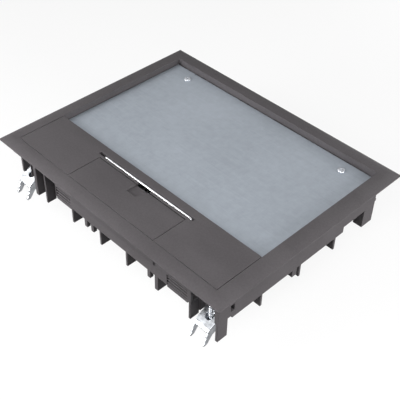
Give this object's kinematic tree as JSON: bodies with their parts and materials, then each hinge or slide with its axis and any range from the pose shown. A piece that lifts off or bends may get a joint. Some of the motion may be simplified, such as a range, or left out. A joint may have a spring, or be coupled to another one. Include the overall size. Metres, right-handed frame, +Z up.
{
  "type": "floor socket box",
  "caption": "Flush floor box with hinged lid, steel insert plate, lift handle, cord flap, clamping claws and socket cups.",
  "frame": {"origin": "middle of the base, under the device cups", "axes": "+Z up, X along the long side, +Y towards the lid hinge"},
  "size_m": [0.264, 0.212, 0.072],
  "materials": {
    "frame_plastic": "fine eroded texture, iron grey",
    "lid_plastic": "fine eroded texture, iron grey",
    "plate_steel": "galvanised, lightly brushed",
    "handle_steel": "bright, fine brushed",
    "zinc_steel": "bright zinc plated",
    "screw_steel": "bright zinc plated",
    "pin_steel": "plain bright steel",
    "foam": "closed-cell foam",
    "cup_plastic": "dark grey, smooth matte",
    "socket_plastic": "off-white, satin",
    "latch_plastic": "dark grey, smooth",
    "contact_brass": "plain"
  },
  "bodies": {
    "frame": {"mounting_frame": "frame_plastic", "cord_seal": "foam", "device_cup_front": "cup_plastic", "socket_carrier_front": "cup_plastic", "carrier_screws_front": "screw_steel", "cup_screws_front": "screw_steel", "device_cup_rear": "cup_plastic", "socket_carrier_rear": "cup_plastic", "carrier_screws_rear": "screw_steel", "cup_screws_rear": "screw_steel", "socket_1": "socket_plastic", "earth_clip_1": "contact_brass", "contact_sleeves_1": "contact_brass", "socket_2": "socket_plastic", "earth_clip_2": "contact_brass", "contact_sleeves_2": "contact_brass", "socket_3": "socket_plastic", "earth_clip_3": "contact_brass", "contact_sleeves_3": "contact_brass", "socket_4": "socket_plastic", "earth_clip_4": "contact_brass", "contact_sleeves_4": "contact_brass", "socket_5": "socket_plastic", "earth_clip_5": "contact_brass", "contact_sleeves_5": "contact_brass", "socket_6": "socket_plastic", "earth_clip_6": "contact_brass", "contact_sleeves_6": "contact_brass"},
    "lid": {"lid_base": "lid_plastic", "lid_plate": "plate_steel", "plate_screws": "screw_steel", "hinge_pins": "pin_steel", "handle_guide_left": "latch_plastic", "handle_guide_right": "latch_plastic", "latch_cover_left": "latch_plastic", "latch_cover_right": "latch_plastic"},
    "flap": {"cord_flap": "lid_plastic", "flap_pins": "pin_steel"},
    "handle": {"lift_handle": "handle_steel"},
    "latch_left": {"latch_left": "latch_plastic"},
    "latch_right": {"latch_right": "latch_plastic"},
    "claw_front_right": {"claw_front_right": "zinc_steel", "claw_nut_front_right": "screw_steel"},
    "screw_front_right": {"claw_screw_front_right": "screw_steel"},
    "claw_front_left": {"claw_front_left": "zinc_steel", "claw_nut_front_left": "screw_steel"},
    "screw_front_left": {"claw_screw_front_left": "screw_steel"},
    "claw_rear_right": {"claw_rear_right": "zinc_steel", "claw_nut_rear_right": "screw_steel"},
    "screw_rear_right": {"claw_screw_rear_right": "screw_steel"},
    "claw_rear_left": {"claw_rear_left": "zinc_steel", "claw_nut_rear_left": "screw_steel"},
    "screw_rear_left": {"claw_screw_rear_left": "screw_steel"}
  },
  "joints": [
    {"name": "lid_hinge", "type": "hinge", "parent": "frame", "child": "lid", "pos_m": [0, 0.084, 0.06275], "axis": [-1, 0, 0], "range_deg": [0, 105]},
    {"name": "flap_hinge", "type": "hinge", "parent": "lid", "child": "flap", "pos_m": [0, -0.0625, 0.0705], "axis": [-1, 0, 0], "range_deg": [0, 90]},
    {"name": "handle_lift", "type": "slide", "parent": "lid", "child": "handle", "axis": [0, 0, 1], "range_m": [0, 0.015]},
    {"name": "latch_left_push", "type": "slide", "parent": "lid", "child": "latch_left", "axis": [0, 1, 0], "range_m": [0, 0.0015], "stiffness_N_per_m": 400, "springref_m": -0.001},
    {"name": "latch_right_push", "type": "slide", "parent": "lid", "child": "latch_right", "axis": [0, 1, 0], "range_m": [0, 0.0015], "stiffness_N_per_m": 400, "springref_m": -0.001},
    {"name": "claw_screw_front_right_turn", "type": "hinge", "parent": "frame", "child": "screw_front_right", "pos_m": [0.11, -0.09, 0.0535], "axis": [0, 0, -1], "range_deg": [0, 4680]},
    {"name": "claw_front_right_rise", "type": "slide", "parent": "frame", "child": "claw_front_right", "axis": [0, 0, 1], "range_m": [0, 0.0104]},
    {"name": "claw_screw_front_left_turn", "type": "hinge", "parent": "frame", "child": "screw_front_left", "pos_m": [-0.11, -0.09, 0.0535], "axis": [0, 0, -1], "range_deg": [0, 4680]},
    {"name": "claw_front_left_rise", "type": "slide", "parent": "frame", "child": "claw_front_left", "axis": [0, 0, 1], "range_m": [0, 0.0104]},
    {"name": "claw_screw_rear_right_turn", "type": "hinge", "parent": "frame", "child": "screw_rear_right", "pos_m": [0.106, 0.09, 0.0535], "axis": [0, 0, -1], "range_deg": [0, 4680]},
    {"name": "claw_rear_right_rise", "type": "slide", "parent": "frame", "child": "claw_rear_right", "axis": [0, 0, 1], "range_m": [0, 0.0104]},
    {"name": "claw_screw_rear_left_turn", "type": "hinge", "parent": "frame", "child": "screw_rear_left", "pos_m": [-0.106, 0.09, 0.0535], "axis": [0, 0, -1], "range_deg": [0, 4680]},
    {"name": "claw_rear_left_rise", "type": "slide", "parent": "frame", "child": "claw_rear_left", "axis": [0, 0, 1], "range_m": [0, 0.0104]}
  ],
  "couplings": [
    {"joint": "claw_screw_front_right_turn", "follows": "claw_front_right_rise", "rad_per_m": 7854},
    {"joint": "claw_screw_front_left_turn", "follows": "claw_front_left_rise", "rad_per_m": 7854},
    {"joint": "claw_screw_rear_right_turn", "follows": "claw_rear_right_rise", "rad_per_m": 7854},
    {"joint": "claw_screw_rear_left_turn", "follows": "claw_rear_left_rise", "rad_per_m": 7854}
  ]
}
